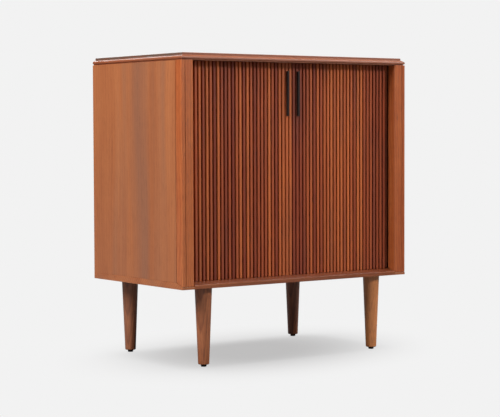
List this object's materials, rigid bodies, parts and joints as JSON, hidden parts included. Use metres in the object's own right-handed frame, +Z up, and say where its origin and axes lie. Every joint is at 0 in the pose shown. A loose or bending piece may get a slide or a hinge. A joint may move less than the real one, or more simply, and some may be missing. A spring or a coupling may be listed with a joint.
{
  "type": "bedside table",
  "caption": "Walnut bedside table on tapered legs, with two sliding tambour doors, bar handles and an inner shelf behind them.",
  "frame": {"origin": "middle of the footprint, on the floor under the glides", "axes": "+X to the right seen from the front, +Y to the back, -Y towards the front with the doors, +Z up"},
  "size_m": [0.6, 0.352, 0.65],
  "materials": {
    "walnut_top": "satin oil on walnut veneer",
    "walnut_side": "satin lacquer on walnut veneer",
    "walnut_case": "satin lacquer on walnut",
    "walnut_post": "satin lacquer on solid walnut",
    "walnut_slat": "satin lacquer on solid walnut",
    "walnut_leg": "satin lacquer on turned walnut",
    "inner_wood": "matt lacquer on walnut veneer",
    "plywood_back": "matt plywood",
    "beech": "raw beech",
    "canvas": "plain woven cotton duck",
    "ebonised_wood": "satin black stain",
    "glide_plastic": "matt moulded nylon",
    "steel": "bright zinc plated"
  },
  "bodies": {
    "cabinet": {"top_panel": "walnut_top", "bottom_panel": "walnut_case", "left_side_panel": "walnut_side", "right_side_panel": "walnut_side", "left_front_post": "walnut_post", "right_front_post": "walnut_post", "back_panel": "plywood_back", "left_liner": "inner_wood", "right_liner": "inner_wood", "shelf": "inner_wood", "shelf_pins": "steel", "left_door_stop": "beech", "right_door_stop": "beech", "case_dowels": "beech", "back_screws": "steel", "front_left_leg": "walnut_leg", "front_right_leg": "walnut_leg", "rear_left_leg": "walnut_leg", "rear_right_leg": "walnut_leg", "front_left_glide": "glide_plastic", "front_right_glide": "glide_plastic", "rear_left_glide": "glide_plastic", "rear_right_glide": "glide_plastic", "left_slats": "walnut_slat", "right_slats": "walnut_slat", "left_canvas": "canvas", "right_canvas": "canvas"},
    "left_door": {"left_lead_stile": "walnut_slat", "left_handle": "ebonised_wood", "left_handle_screws": "steel"},
    "right_door": {"right_lead_stile": "walnut_slat", "right_handle": "ebonised_wood", "right_handle_screws": "steel"}
  },
  "joints": [
    {"name": "left_door_slide", "type": "slide", "parent": "cabinet", "child": "left_door", "axis": [-1, 0, 0], "range_m": [0, 0.2298], "deforming": ["left_slats", "left_canvas"]},
    {"name": "right_door_slide", "type": "slide", "parent": "cabinet", "child": "right_door", "axis": [1, 0, 0], "range_m": [0, 0.2298], "deforming": ["right_slats", "right_canvas"]}
  ]
}
